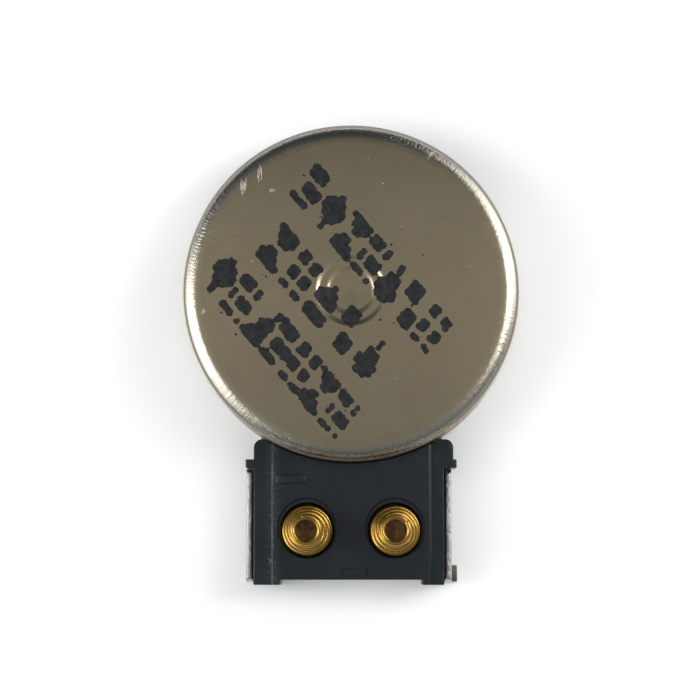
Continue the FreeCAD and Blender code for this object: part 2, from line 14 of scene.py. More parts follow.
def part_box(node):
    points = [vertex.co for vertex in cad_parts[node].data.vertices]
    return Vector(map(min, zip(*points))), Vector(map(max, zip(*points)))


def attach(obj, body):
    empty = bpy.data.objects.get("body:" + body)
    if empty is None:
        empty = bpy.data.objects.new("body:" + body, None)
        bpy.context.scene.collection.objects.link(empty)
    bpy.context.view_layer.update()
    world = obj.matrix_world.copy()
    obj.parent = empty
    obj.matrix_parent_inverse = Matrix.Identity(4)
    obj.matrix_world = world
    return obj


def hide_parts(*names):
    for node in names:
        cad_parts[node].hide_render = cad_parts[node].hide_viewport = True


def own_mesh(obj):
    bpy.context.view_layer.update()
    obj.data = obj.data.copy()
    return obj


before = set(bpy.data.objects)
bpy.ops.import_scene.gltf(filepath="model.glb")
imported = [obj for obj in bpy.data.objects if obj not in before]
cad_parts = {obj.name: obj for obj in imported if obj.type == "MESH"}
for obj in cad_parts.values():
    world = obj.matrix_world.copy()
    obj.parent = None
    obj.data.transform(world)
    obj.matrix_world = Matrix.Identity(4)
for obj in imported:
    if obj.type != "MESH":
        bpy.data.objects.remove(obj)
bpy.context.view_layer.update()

MM = 0.001


def box_mm(node):
    """Lowest and highest corner of a CAD node, in millimetres."""
    low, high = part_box(node)
    return low / MM, high / MM


COVER_LOW, COVER_HIGH = box_mm("cover_can")
PLATE_LOW = box_mm("base_plate")[0]
BLOCK_LOW = box_mm("contact_block")[0]
FLEX_LOW, FLEX_HIGH = box_mm("base_flex")
CAN_RADIUS = round(COVER_HIGH.y, 3)
CAN_TOP = COVER_HIGH.z
SHEET = COVER_LOW.z
FLEX_TOP = FLEX_HIGH.z

# The can's profile. Each dimple step has its outer radius, inner radius and depth
CORNER_START = 4.4
CORNER_DROP = 0.42
CORNER_POWER = 2.6
CROWN = 0.03
DIMPLE_DEPTH = 0.08
DIMPLE_STEPS = [(1.07, 0.89, 0.036), (0.76, 0.58, 0.030), (0.58, 0.0, 0.014)]
DIMPLE_RADIUS = DIMPLE_STEPS[0][0]
BOWL_RADIUS = DIMPLE_STEPS[1][1]
LIP_RADIUS = 0.05
LIP_CHAMFER = 0.02
CEILING_RADIUS = 0.3
NOTCH_HALF = 2.4
NOTCH_HEIGHT = 0.14

# The weld spots on the can's seam
WELD_AZIMUTHS = (28, 100, 172, 320)
WELD_SEAT = CAN_RADIUS - 0.012
WELD_HALF_WIDTH = 0.19
WELD_HALF_HEIGHT = 0.13
WELD_BULGE = 0.028
WELD_RIPPLE = 0.004

# The base plate's tail
LEFT_FLANGE = 2.93
RIGHT_FLANGE = 2.79
FLANGE_NORTH = -5.2
FLANGE_TOP = 1.6
FLANGE_CORNER = 0.2
CREST_RADIUS = 0.085
BEND_RADIUS = 0.15
BEND_START = 2.6
NECK_HALF = 2.75
TAIL_EXTRA = 0.05
TAIL_RECESS = 0.12
TOE_WIDTH = 0.8
FOOT_START = 2.7
FOOT_REACH = 3.2
FOOT_NORTH = -8.05
PLATE_ROUND = 0.03

# The contact block
BLOCK_HALF = 2.9
BLOCK_TOP = 2.0
BLOCK_NORTH = -4.32
BLOCK_SOUTH = -8.49
BLOCK_ROUND = 0.045
TOE_SOUTH = BLOCK_LOW.y
SEAT_RADIUS = CAN_RADIUS + 0.03
LEDGE_TOP = BLOCK_TOP - 0.16
LEDGE_WIDTH = 0.56
LEDGE_EDGE = LEDGE_WIDTH - BLOCK_HALF
FLANGE_GAP = 0.03
HORN_RADIUS = 0.25
HORN_EXTRA = 0.14
HORN_ROOT = 0.5
EAR_SOUTH = -5.17
EAR_NORTH = -4.92
EAR_REACH = 0.24
LUG_FLOOR = 0.7
LUG_ROUND = 0.03
CHANNEL_HALF = 2.35
WELL_RADIUS = 0.82
WELL_SOUTH = -7.02
MOUTH_RADIUS = 0.88
MOUTH_SOUTH = -6.97
MOUTH_DEPTH = 0.1
MOUTH_RIM = 0.04

# The gate recess and the raised bar, as west, east, south and north
GATE = (-0.3, 0.5, -8.41, -8.16)
GATE_DEPTH = 0.1
BAR = (-2.25, -1.33, -5.65, -5.37)
BAR_ROOT = 0.1
BAR_RISE = 0.06
BAR_ROUND = 0.025

# Where the cutting solids end, all of them past the block
CUT_TOP = 3
CUT_SIDE = 4.5
CUT_SOUTH = -10

# The circuit under the block
TAIL_HALF = 2.3
SHAFT_HOLE = 0.9
PAD_RADIUS = 0.78
TRACK_MIDDLE = 1.2
TRACK_HALF = 0.2
TRACK_THICKNESS = 0.03

# The contact springs, with the turns of each stretch from the foot up
SPRING_SOUTH = -7.05
SPRING_X = 1.3
WIRE = 0.15
WIRE_SIDES = 16
COIL_RADIUS = 0.7
TIP_RADIUS = 0.39
TIGHT_PITCH = WIRE * 1.07
FOOT_TURNS = 1.25
BODY_TURNS = 2.5
CONE_TURNS = 3.0
TIP_TURNS = 1.0
STEPS_PER_TURN = 56
END_SIZES = (0.72, 0.93, 1.0)


# Basic meshes


def mesh_object(name, points, faces):
    """A mesh object from points in millimetres."""
    mesh = bpy.data.meshes.new(name)
    mesh.from_pydata([tuple(p) for p in points], [], faces)
    mesh.update()
    mesh.validate()
    piece = bpy.data.objects.new(name, mesh)
    bpy.context.scene.collection.objects.link(piece)
    return piece


def heading(degrees):
    """A unit vector in the plan, from +X towards +Y."""
    return Vector((math.cos(math.radians(degrees)), math.sin(math.radians(degrees))))


def arc(centre, radius, start, end, steps):
    """Points along an arc, angles in degrees, both ends included."""
    angles = [math.radians(start + (end - start) * i / steps) for i in range(steps + 1)]
    return [(centre[0] + radius * math.cos(a), centre[1] + radius * math.sin(a)) for a in angles]


def circle(centre, radius, steps=96):
    """A closed circle's points."""
    return arc(centre, radius, 0, 360, steps)[:-1]


def rectangle(west, east, south, north):
    """A rectangle's corners, anticlockwise."""
    return [(west, south), (east, south), (east, north), (west, north)]


def extruded(name, near, far):
    """A solid between two matching loops of points."""
    count = len(near)
    faces = [tuple(range(count - 1, -1, -1)), tuple(range(count, 2 * count))]
    faces += [(i, (i + 1) % count, (i + 1) % count + count, i + count) for i in range(count)]
    return mesh_object(name, near + far, faces)


def prism(name, outline, low, high):
    """An upright solid on an anticlockwise outline."""
    return extruded(name, [(x, y, low) for x, y in outline], [(x, y, high) for x, y in outline])


def lathe(name, profile, steps=256):
    """Turns a closed (r, z) profile round the Z axis. A profile point on the axis becomes one vertex."""
    points, rings = [], []
    for r, z in profile:
        if r == 0:
            rings.append([len(points)] * steps)
            points.append((0, 0, z))
            continue
        rings.append(list(range(len(points), len(points) + steps)))
        for i in range(steps):
            a = 2 * math.pi * i / steps
            points.append((r * math.cos(a), r * math.sin(a), z))
    faces = []
    for here, there in zip(rings, rings[1:] + rings[:1]):
        for i in range(steps):
            j = (i + 1) % steps
            corners = list(dict.fromkeys((here[i], here[j], there[j], there[i])))
            if len(corners) > 2:
                faces.append(corners)
    return mesh_object(name, points, faces)


def bake(piece):
    """Replaces a piece's mesh by what its modifiers make of it."""
    bpy.context.view_layer.update()
    graph = bpy.context.evaluated_depsgraph_get()
    mesh = bpy.data.meshes.new_from_object(piece.evaluated_get(graph))
    piece.modifiers.clear()
    piece.data = mesh
    return piece


def combine(piece, others, operation):
    """Adds or cuts other solids, which are used up."""
    for other in others:
        step = piece.modifiers.new("combine", "BOOLEAN")
        step.operation = operation
        step.solver = "EXACT"
        step.object = other
    bake(piece)
    for other in others:
        bpy.data.objects.remove(other)
    return piece


def round_edges(piece, width):
    """Rounds every edge sharper than 32 degrees."""
    step = piece.modifiers.new("round", "BEVEL")
    step.width = width
    step.segments = 3
    step.limit_method = "ANGLE"
    step.angle_limit = math.radians(32)
    step.use_clamp_overlap = True
    step.miter_outer = "MITER_ARC"
    return bake(piece)


def thicken(piece, thickness, offset):
    """Gives a skin a thickness, outwards with offset 1 and inwards with offset -1."""
    step = piece.modifiers.new("thickness", "SOLIDIFY")
    step.thickness = thickness
    step.offset = offset
    return bake(piece)


def trimmed(piece, side_view):
    """What is left of a piece inside an outline seen from the side, as (y, z) points."""
    west = [(-2 * CUT_SIDE, y, z) for y, z in side_view]
    east = [(2 * CUT_SIDE, y, z) for y, z in side_view]
    return combine(piece, [extruded("stencil", west, east)], "INTERSECT")


def finish_piece(piece, body, material, replaces=(), sharp=30, flats=False):
    """Brings a piece to metres, gives it its shading, material and body, and hides the CAD nodes it
    replaces.

    flats keeps big faces flat beside rounded edges.
    """
    piece.data.transform(Matrix.Scale(MM, 4))
    piece.data.shade_smooth()
    piece.data.set_sharp_from_angle(angle=math.radians(sharp))
    if flats:
        step = piece.modifiers.new("flats", "WEIGHTED_NORMAL")
        step.weight = 100
        step.keep_sharp = True
        bake(piece)
    piece.data.materials.clear()
    piece.data.materials.append(material)
    for polygon in piece.data.polygons:
        polygon.material_index = 0
    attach(piece, body)
    if replaces:
        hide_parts(*replaces)
    return piece


# Materials


def add_node(tree, kind, settings=None, inputs=None):
    """Adds a node. An input is a value or another node's output."""
    node = tree.nodes.new("ShaderNode" + kind)
    for key, setting in (settings or {}).items():
        setattr(node, key, setting)
    for key, source in (inputs or {}).items():
        if isinstance(source, bpy.types.NodeSocket):
            tree.links.new(source, node.inputs[key])
        else:
            node.inputs[key].default_value = source
    return node


class Shader:
    """One material's nodes. Its textures are laid out in millimetres."""

    def __init__(self, name):
        self.material = bpy.data.materials.new(name)
        self.material.use_nodes = True
        self.tree = self.material.node_tree
        self.tree.nodes.clear()
        self.surface = self.node("BsdfPrincipled")
        self.node("OutputMaterial", {}, {"Surface": self.surface.outputs[0]})
        place = self.node("TexCoord").outputs["Object"]
        scaled = self.node("VectorMath", {"operation": "SCALE"}, {"Vector": place, "Scale": 1 / MM})
        self.place = scaled.outputs[0]

    def node(self, kind, settings=None, inputs=None):
        """Adds a node to this material."""
        return add_node(self.tree, kind, settings, inputs)

    def calc(self, operation, *values):
        """One step of arithmetic."""
        return self.node("Math", {"operation": operation}, dict(enumerate(values))).outputs[0]

    def axis(self, letter):
        """The place along X, Y or Z, in millimetres."""
        return self.node("SeparateXYZ", {}, {0: self.place}).outputs[letter]

    def stretched(self, stretch, turn=0, vector=None):
        """The place, turned about Z in degrees and then stretched."""
        inputs = {"Vector": vector or self.place, "Angle": math.radians(turn)}
        turned = self.node("VectorRotate", {"rotation_type": "Z_AXIS"}, inputs).outputs[0]
        return self.node("VectorMath", {"operation": "MULTIPLY"}, {0: turned, 1: stretch}).outputs[0]

    def noise(self, scale, detail=3.0, roughness=0.5, stretch=None, turn=0, vector=None):
        """Noise from 0 to 1, with scale features to a millimetre."""
        place = vector or self.place
        if stretch:
            place = self.stretched(stretch, turn, place)
        inputs = {"Vector": place, "Scale": scale, "Detail": detail, "Roughness": roughness}
        return self.node("TexNoise", {}, inputs).outputs["Fac"]

    def spots(self, scale, size):
        """Sparse round spots: 1 inside, 0 outside."""
        made = self.node("TexVoronoi", {}, {"Vector": self.place, "Scale": scale, "Randomness": 1.0})
        return self.remap(made.outputs["Distance"], size, size * 0.6, 0, 1)

    def remap(self, factor, low, high, to_low=0.0, to_high=1.0):
        """Clamped linear remapping."""
        inputs = {"Value": factor, "From Min": low, "From Max": high, "To Min": to_low, "To Max": to_high}
        return self.node("MapRange", {"clamp": True}, inputs).outputs["Result"]

    def blend(self, factor, a, b):
        """A colour between a and b."""
        node = self.node("Mix", {"data_type": "RGBA"})
        for index, source in ((0, factor), (6, a), (7, b)):
            if isinstance(source, bpy.types.NodeSocket):
                self.tree.links.new(source, node.inputs[index])
            else:
                node.inputs[index].default_value = source if index == 0 else (*source, 1)
        return node.outputs[2]

    def bump(self, height, depth, under=None):
        """A bump of the given depth in millimetres, on top of another one."""
        inputs = {"Height": height, "Distance": depth * MM, "Strength": 1.0}
        if under:
            inputs["Normal"] = under
        return self.node("Bump", {}, inputs).outputs["Normal"]

    def radial_lines(self, density):
        """Fine lines that run away from the shaft's axis and down the wall, density of them to a radian."""
        around = self.calc("ARCTAN2", self.axis("Y"), self.axis("X"))
        around = self.calc("MULTIPLY", around, density)
        level = self.calc("MULTIPLY", self.axis("Z"), 0.9)
        vector = self.node("CombineXYZ", {}, {"X": around, "Y": level}).outputs[0]
        return self.noise(1.0, 2.0, vector=vector)

    def radius(self):
        """Distance from the shaft's axis, in millimetres."""
        flat = self.node("CombineXYZ", {}, {"X": self.axis("X"), "Y": self.axis("Y")}).outputs[0]
        return self.node("VectorMath", {"operation": "LENGTH"}, {0: flat}).outputs["Value"]

    def set(self, **inputs):
        """Sets the surface's inputs by name, with _ for a space."""
        for key, source in inputs.items():
            key = key.replace("_", " ")
            if isinstance(source, bpy.types.NodeSocket):
                self.tree.links.new(source, self.surface.inputs[key])
            else:
                if isinstance(source, tuple):
                    source = (*source, 1)
                self.surface.inputs[key].default_value = source
        return self.material


# Nickel plate: its tone on the cover's top, at the corner and down the wall
NICKEL = (0.575, 0.470, 0.315)
NICKEL_PALE = (0.650, 0.540, 0.370)
NICKEL_GRAIN = (0.45, 0.365, 0.24)
# Painted shade for the top's +Y and -Y ends
NICKEL_PAINTED_SHADE = (0.40, 0.33, 0.235)
NICKEL_WIPED = (0.66, 0.575, 0.42)
NICKEL_MOTTLE = (0.535, 0.475, 0.300)
NICKEL_CORNER = (0.63, 0.605, 0.55)
# Painted dark reflection under the corner
NICKEL_DARK_REFLECTION = (0.13, 0.105, 0.075)
WALL_METAL = (0.40, 0.345, 0.255)
WALL_MARKS = (0.25, 0.21, 0.155)
# Painted light for the wall's left and right, and painted shade for its side away from the tail
WALL_PAINTED_LIGHT = (0.72, 0.67, 0.56)
WALL_PAINTED_SHADE = (0.055, 0.050, 0.042)

# Where the finish changes, as the start and the end of each change
CORNER_FINISH = (4.5, 4.75)
# Painted dark reflection: it starts below the first height and is full below the second
DARK_REFLECTION_BAND = (2.85, 2.81)
WALL_FINISH = (2.76, 2.70)
DRAW_MARKS = 75


def cover_metal():
    """Satin nickel plate: cloudy tone, fine grain, faint wiping marks, painted shade towards the top's +Y
    and -Y ends, and a painted dark reflection in a line round the corner.

    Below that line the wall is duller, with painted light to the left and right and painted shade away from
    the tail, and the press's draw marks running down it.
    """
    s = Shader("cover_nickel")
    north, level = s.axis("Y"), s.axis("Z")
    corner = s.remap(s.radius(), *CORNER_FINISH)
    wall = s.remap(level, *WALL_FINISH)
    cloud = s.noise(0.45, 4.0)
    grain = s.noise(9, 5.0, 0.65)
    wiped = s.noise(1.0, 3.0, stretch=(0.5, 9, 1), turn=38)
    mottle = s.noise(2.1, 3.0, 0.6)
    drawn = s.radial_lines(DRAW_MARKS)

    tone = s.blend(s.remap(cloud, 0.3, 0.7), NICKEL, NICKEL_PALE)
    tone = s.blend(s.remap(grain, 0.35, 0.7, 0, 0.45), tone, NICKEL_GRAIN)
    # Painted shade on the top, growing towards its +Y and -Y ends
    north_south_shade = s.calc("ADD", s.remap(north, -0.8, -3.2, 0, 0.42), s.remap(north, 1.8, 4.6, 0, 0.45))
    tone = s.blend(north_south_shade, tone, NICKEL_PAINTED_SHADE)
    tone = s.blend(s.remap(wiped, 0.5, 0.8, 0, 0.25), tone, NICKEL_WIPED)
    tone = s.blend(s.remap(mottle, 0.38, 0.62, 0, 0.6), tone, NICKEL_MOTTLE)
    tone = s.blend(s.calc("MULTIPLY", corner, 0.65), tone, NICKEL_CORNER)
    # Painted dark reflection in a band just under the corner, down to where the wall begins
    tone = s.blend(s.calc("MULTIPLY", s.remap(level, *DARK_REFLECTION_BAND), 0.8), tone, NICKEL_DARK_REFLECTION)
    wall_tone = s.blend(s.remap(drawn, 0.35, 0.65), WALL_METAL, WALL_MARKS)
    # Painted light on the wall's left and right, and painted shade on its side away from the tail
    wall_tone = s.blend(s.remap(s.calc("ABSOLUTE", north), 3.8, 2.2), wall_tone, WALL_PAINTED_LIGHT)
    wall_tone = s.blend(s.remap(north, 2.2, 4.2), wall_tone, WALL_PAINTED_SHADE)
    tone = s.blend(wall, tone, wall_tone)

    rough = s.calc("SUBTRACT", s.remap(grain, 0.2, 0.8, 0.17, 0.26), s.calc("MULTIPLY", corner, 0.07))
    rough = s.calc("ADD", rough, s.calc("MULTIPLY", wall, 0.25))
    metallic = s.calc("SUBTRACT", 1.0, s.calc("MULTIPLY", wall, 0.5))
    gloss = s.calc("SUBTRACT", 0.5, s.calc("MULTIPLY", wall, 0.4))

    normal = s.bump(grain, 0.0022)
    normal = s.bump(wiped, 0.0008, under=normal)
    normal = s.bump(s.calc("MULTIPLY", drawn, corner), 0.008, under=normal)
    normal = s.bump(s.calc("MULTIPLY", s.noise(19, 3.0, 0.6), corner), 0.012, under=normal)
    return s.set(
        Base_Color=tone, Metallic=metallic, Roughness=rough, Normal=normal, Specular_IOR_Level=gloss
    )


# Painted shade low on the plate, near its underside
PAINTED_LOW_SHADE = (0.15, 0.14, 0.12)


def sheet_metal(name, tone, shade, roughness):
    """Rolled, plated steel: fine rolling lines along Y and small stains.

    There is painted shade low down, just above the underside, and the flanges' crests are torn.
    """
    s = Shader(name)
    rolled = s.noise(1.0, 3.0, stretch=(38, 0.8, 38))
    stain = s.noise(0.9, 4.0)
    colour = s.blend(s.remap(stain, 0.35, 0.7), tone, shade)
    colour = s.blend(s.remap(rolled, 0.45, 0.7, 0, 0.35), colour, shade)
    rough = s.remap(rolled, 0.3, 0.7, roughness - 0.05, roughness + 0.08)
    level = s.axis("Z")
    # Painted shade from just above the underside up to 0.6 mm
    low_shade = s.calc("MULTIPLY", s.remap(level, 0.12, 0.18), s.remap(level, 0.6, 0.25))
    colour = s.blend(low_shade, colour, PAINTED_LOW_SHADE)
    crest = s.remap(level, FLANGE_TOP - 0.1, FLANGE_TOP - 0.04)
    torn = s.calc("MULTIPLY", s.noise(7, 3.0, 0.6), crest)
    normal = s.bump(torn, 0.05, under=s.bump(rolled, 0.003))
    return s.set(Base_Color=colour, Metallic=1.0, Roughness=rough, Normal=normal)


def bright_metal(name, tone, shade, roughness, scale=6.0, depth=0.002):
    """Plain plated or ground metal with cloudy wear."""
    s = Shader(name)
    wear = s.noise(scale, 4.0)
    colour = s.blend(s.remap(wear, 0.35, 0.7), tone, shade)
    rough = s.remap(wear, 0.3, 0.75, roughness * 0.8, roughness * 1.4)
    return s.set(Base_Color=colour, Metallic=1.0, Roughness=rough, Normal=s.bump(wear, depth))


# Painted shade beside the ledge's step, and painted highlights along it
PLASTIC_EDGE_SHADE = (0.024, 0.031, 0.038)
PLASTIC_EDGE_GLINT = (0.11, 0.135, 0.155)


def moulded_plastic(name, tone, shade, roughness, grain_depth=0.004, glint_edge_x=None):
    """Moulded plastic with the mould's fine grain and a few pale specks; along a given x, painted shade and
    painted highlights.
    """
    s = Shader(name)
    grain = s.noise(17, 4.0, 0.6)
    cloud = s.noise(0.8, 3.0)
    speck = s.spots(5.5, 0.07)
    colour = s.blend(s.remap(cloud, 0.35, 0.7), tone, shade)
    colour = s.blend(s.remap(grain, 0.55, 0.8, 0, 0.35), colour, tuple(c * 1.7 for c in shade))
    colour = s.blend(s.calc("MULTIPLY", speck, 0.3), colour, tuple(c * 4 for c in shade))
    rough = s.remap(grain, 0.25, 0.75, roughness - 0.1, roughness + 0.1)
    normal = s.bump(cloud, 0.02, under=s.bump(grain, grain_depth))
    if glint_edge_x is not None:
        # Where painted highlights go along the step: specks and a hairline, which also make a bump
        away = s.calc("ABSOLUTE", s.calc("SUBTRACT", s.axis("X"), glint_edge_x))
        specks = s.remap(s.noise(11, 2.0, 0.6), 0.57, 0.67)
        specks = s.calc("MULTIPLY", specks, s.remap(away, 0.18, 0.02))
        hairline = s.remap(s.noise(1.6, 4.0, 0.7), 0.44, 0.60)
        hairline = s.calc("MULTIPLY", hairline, s.remap(away, 0.035, 0.01))
        rubbed = s.calc("MAXIMUM", specks, hairline)
        # Painted shade beside the step, then painted highlights on the specks and the hairline
        colour = s.blend(s.remap(away, 0.30, 0.0, 0, 0.5), colour, PLASTIC_EDGE_SHADE)
        colour = s.blend(s.calc("MULTIPLY", rubbed, 0.65), colour, PLASTIC_EDGE_GLINT)
        normal = s.bump(rubbed, 0.008, under=normal)
    return s.set(Base_Color=colour, Roughness=rough, Normal=normal, Specular_IOR_Level=0.4)


def glossy_film(name, tone, shade, roughness=0.22):
    """Thin film or lacquered board: a little cloudy, with a faint weave."""
    s = Shader(name)
    cloud = s.noise(2.2, 3.0)
    across = s.noise(1.0, 1.0, stretch=(1, 22, 1))
    along = s.noise(1.0, 1.0, stretch=(22, 1, 1))
    weave = s.calc("ADD", across, along)
    colour = s.blend(s.remap(cloud, 0.35, 0.7), tone, shade)
    rough = s.remap(cloud, 0.3, 0.7, roughness * 0.8, roughness * 1.5)
    return s.set(Base_Color=colour, Roughness=rough, Normal=s.bump(weave, 0.002), Coat_Weight=0.3)


COIL_WIRE = 0.06


def wound_copper():
    """Enamelled wire wound in rings: dark lines between the turns."""
    s = Shader("coil_winding")
    level = s.calc("MULTIPLY", s.axis("Z"), 2 * math.pi / COIL_WIRE)
    turns = s.remap(s.calc("SINE", level), -1, 1)
    cloud = s.noise(3, 3.0)
    colour = s.blend(turns, (0.28, 0.08, 0.025), (0.80, 0.33, 0.13))
    colour = s.blend(s.remap(cloud, 0.4, 0.7, 0, 0.4), colour, (0.55, 0.19, 0.06))
    normal = s.bump(turns, 0.012)
    return s.set(Base_Color=colour, Metallic=0.85, Roughness=0.32, Normal=normal, Coat_Weight=0.4)


def ink():
    """Dried printing ink: nearly black, uneven, and rubbed thin in small spots."""
    s = Shader("printed_ink")
    cloud = s.noise(5, 4.0)
    colour = s.blend(s.remap(cloud, 0.35, 0.7), (0.005, 0.006, 0.007), (0.018, 0.018, 0.018))
    worn = s.remap(s.noise(13, 3.0, 0.6), 0.58, 0.78, 0, 0.5)
    colour = s.blend(worn, colour, (0.075, 0.07, 0.058))
    rough = s.remap(cloud, 0.3, 0.7, 0.42, 0.62)
    return s.set(Base_Color=colour, Roughness=rough, Normal=s.bump(cloud, 0.004), Specular_IOR_Level=0.3)


def floor_paint():
    """Matte pale floor with the faintest mottling."""
    s = Shader("floor_paint")
    cloud = s.noise(0.05, 3.0)
    colour = s.blend(s.remap(cloud, 0.3, 0.7), (0.93, 0.93, 0.925), (0.95, 0.95, 0.945))
    return s.set(Base_Color=colour, Roughness=0.9)


COVER_METAL = cover_metal()
PLATE_METAL = sheet_metal("plate_nickel", (0.62, 0.60, 0.55), (0.46, 0.44, 0.40), 0.42)
GOLD = bright_metal("gold_wire", (0.52, 0.315, 0.068), (0.41, 0.232, 0.048), 0.29, 5.0, 0.0006)
BLOCK_TONES = (0.0056, 0.0082, 0.0105), (0.0088, 0.0120, 0.0150)
# Its painted shade and painted highlights run along the ledge's step, at LEDGE_EDGE
BLOCK_PLASTIC = moulded_plastic("block_plastic", *BLOCK_TONES, 0.34, 0.007, LEDGE_EDGE)


# The can


def smooth(share):
    """0 to 1 with level ends."""
    share = min(max(share, 0), 1)
    return share * share * (3 - 2 * share)


def cover_height(r):
    """The height of the cover's outside at radius r: slightly crowned, rolled off at the wall, dimpled.

    The dimple goes down in two small steps and a shallow bowl, each from its outer to its inner radius.
    """
    height = CAN_TOP - CROWN * (r / CAN_RADIUS) ** 4
    if r > CORNER_START:
        share = min((r - CORNER_START) / (CAN_RADIUS - CORNER_START), 1)
        height -= CORNER_DROP * (1 - math.sqrt(1 - share**CORNER_POWER))
    for outer, inner, depth in DIMPLE_STEPS:
        height -= depth * smooth((outer - r) / (outer - inner))
    return height


def cover_top_profile():
    """(r, z) of the cover's whole outside top, from the wall to the axis."""
    corner = [CAN_RADIUS - (CAN_RADIUS - CORNER_START) * (i / 48) ** 2.2 for i in range(49)]
    flat = [CORNER_START - 0.2 * i for i in range(1, 16)]
    dimple = [1.1 - 0.015 * i for i in range(1, 36)]
    bowl = [0.5, 0.4, 0.3, 0.2, 0.1, 0]
    return [(r, cover_height(r)) for r in corner + flat + dimple + bowl]


def make_cover():
    """The drawn can, with its rounded corner, dimple, eased lip and the notch for the circuit's tail."""
    inner = CAN_RADIUS - SHEET
    ceiling = CAN_TOP - SHEET
    lip = (CAN_RADIUS - LIP_RADIUS, SHEET + LIP_RADIUS)
    profile = [(inner, SHEET + LIP_CHAMFER), (inner + LIP_CHAMFER, SHEET), (lip[0], SHEET)]
    profile += arc(lip, LIP_RADIUS, -90, 0, 5)[1:]
    profile += [(CAN_RADIUS, SHEET + 0.2 + 0.3 * i) for i in range(8)]
    profile += cover_top_profile()
    bowl = ceiling - DIMPLE_DEPTH
    profile += [(0, bowl), (BOWL_RADIUS, bowl), (DIMPLE_RADIUS, ceiling)]
    profile += arc((inner - CEILING_RADIUS, ceiling - CEILING_RADIUS), CEILING_RADIUS, 90, 0, 8)
    cover = lathe("cover", profile)
    notch_top = SHEET + NOTCH_HEIGHT
    for vertex in cover.data.vertices:
        x, y, z = vertex.co
        if abs(x) < NOTCH_HALF and y < -4 and z < notch_top:
            vertex.co.z = notch_top + (z - SHEET) * 0.2
    return finish_piece(cover, "motor", COVER_METAL, ["cover_can"], sharp=60)


def make_welds():
    """Laser weld spots on the seam between the can and the base plate: low rippled domes."""
    points, faces = [], []
    rings, steps = 6, 20
    up = Vector((0, 0, 1))
    for degrees in WELD_AZIMUTHS:
        outward = heading(degrees).to_3d()
        across = Vector((-outward.y, outward.x, 0))
        centre = outward * WELD_SEAT + up * SHEET
        start = len(points)
        points.append(centre + outward * WELD_BULGE)
        for ring in range(1, rings + 1):
            share = ring / rings
            ripple = WELD_RIPPLE * (math.cos(share * 14) * (1 - share) - share)
            lift = WELD_BULGE * (1 - share**2) + ripple
            for i in range(steps):
                a = 2 * math.pi * i / steps
                spot = across * (WELD_HALF_WIDTH * share * math.cos(a))
                spot += up * (WELD_HALF_HEIGHT * share * math.sin(a)) + outward * lift
                points.append(centre + spot)
        faces += [(start, start + 1 + i, start + 1 + (i + 1) % steps) for i in range(steps)]
        for ring in range(rings - 1):
            row = start + 1 + ring * steps
            for i in range(steps):
                j = (i + 1) % steps
                faces.append((row + i, row + steps + i, row + steps + j, row + j))
        last = start + 1 + (rings - 1) * steps
        points.append(centre - outward * 0.03)
        faces += [(last + (i + 1) % steps, last + i, len(points) - 1) for i in range(steps)]
    welds = mesh_object("weld_spots", points, faces)
    material = bright_metal("weld_metal", (0.50, 0.47, 0.42), (0.36, 0.32, 0.30), 0.34, 14, 0.004)
    return finish_piece(welds, "motor", material)


# The printed marks: plain dot-matrix shapes in three slanted rows

MARKS = {
    "eject": ("..#..", ".###.", "#####", "#####", ".....", "#####", "#####"),
    "brick": ("###.#", "###.#", ".....", "#.###", "#.###", ".....", "###.#"),
    "blocks": ("###..", "###..", "###..", ".....", "..###", "..###", "..###"),
    "stairs": ("....#", "....#", "...##", "..###", "..###", ".####", "#####"),
    "leaf": ("..#..", ".###.", "#####", "#####", ".###.", "..#..", "..#.."),
    "tiles": ("##.##", "##.##", ".....", "##.##", "##.##", ".....", "##.##"),
    "wedges": ("#####", ".####", "..##.", ".....", ".##..", "####.", "#####"),
    "pills": ("####.", "####.", ".....", ".####", ".####", ".....", "####."),
    "drop": ("..#..", "..#..", ".###.", ".###.", "#####", "#####", ".###."),
}

# The rows, each with its first mark's place, its pitch and its marks
MARK_ROWS = [
    ((-1.15, 3.02), 0.908, ["pills", "leaf", "wedges", "brick", "drop", "blocks", "tiles"]),
    ((-2.16, 1.26), 1.060, ["wedges", "tiles", "eject", "blocks", "drop"]),
    ((-3.78, 0.44), 0.890, ["leaf", "brick", "stairs", "pills", "tiles", "wedges", "brick"]),
]
MARK_ALONG = heading(-50)
MARK_UP = heading(50)
COLUMN_PITCH = 0.158
LINE_PITCH = 0.178
DOT_RADIUS = 0.110
DOT_SLIP = 0.014
STRAY_SPECKS = 26
INK_FADE = 0.14
INK_SPREAD = 1.15
INK_REACH = 4.4
INK_STEP = 0.03
INK_HEIGHT = 0.004
INK_SINK = 0.001


def mark_dots():
    """Every printed dot as (x, y, radius), a little out of place, with a few specks of stray ink."""
    random = np.random.default_rng(7)
    dots = []
    for start, pitch, names in MARK_ROWS:
        for index, name in enumerate(names):
            centre = Vector(start) + MARK_ALONG * pitch * index
            faded = 1 - INK_FADE * (index / (len(names) - 1)) ** 2
            for row, line in enumerate(MARKS[name]):
                for column, cell in enumerate(line):
                    if cell == "#":
                        aside, above = COLUMN_PITCH * (column - 2), LINE_PITCH * (3 - row)
                        spot = centre + MARK_ALONG * aside + MARK_UP * above
                        spot += Vector(random.normal(0, DOT_SLIP, 2))
                        dots.append((spot.x, spot.y, DOT_RADIUS * faded * random.uniform(0.86, 1.12)))
    for _ in range(STRAY_SPECKS):
        near = dots[random.integers(len(dots))]
        away = random.normal(0, 0.45, 2)
        dots.append((near[0] + away[0], near[1] + away[1], random.uniform(0.018, 0.038)))
    return np.array(dots)


def ragged(x, y):
    """How much stronger or weaker the ink is at a point, by a coarse and a fine noise."""
    coarse = noise.noise(Vector((x * 9, y * 9, 0)))
    fine = noise.noise(Vector((x * 21, y * 21, 5)))
    return 0.6 * coarse + 0.5 * fine


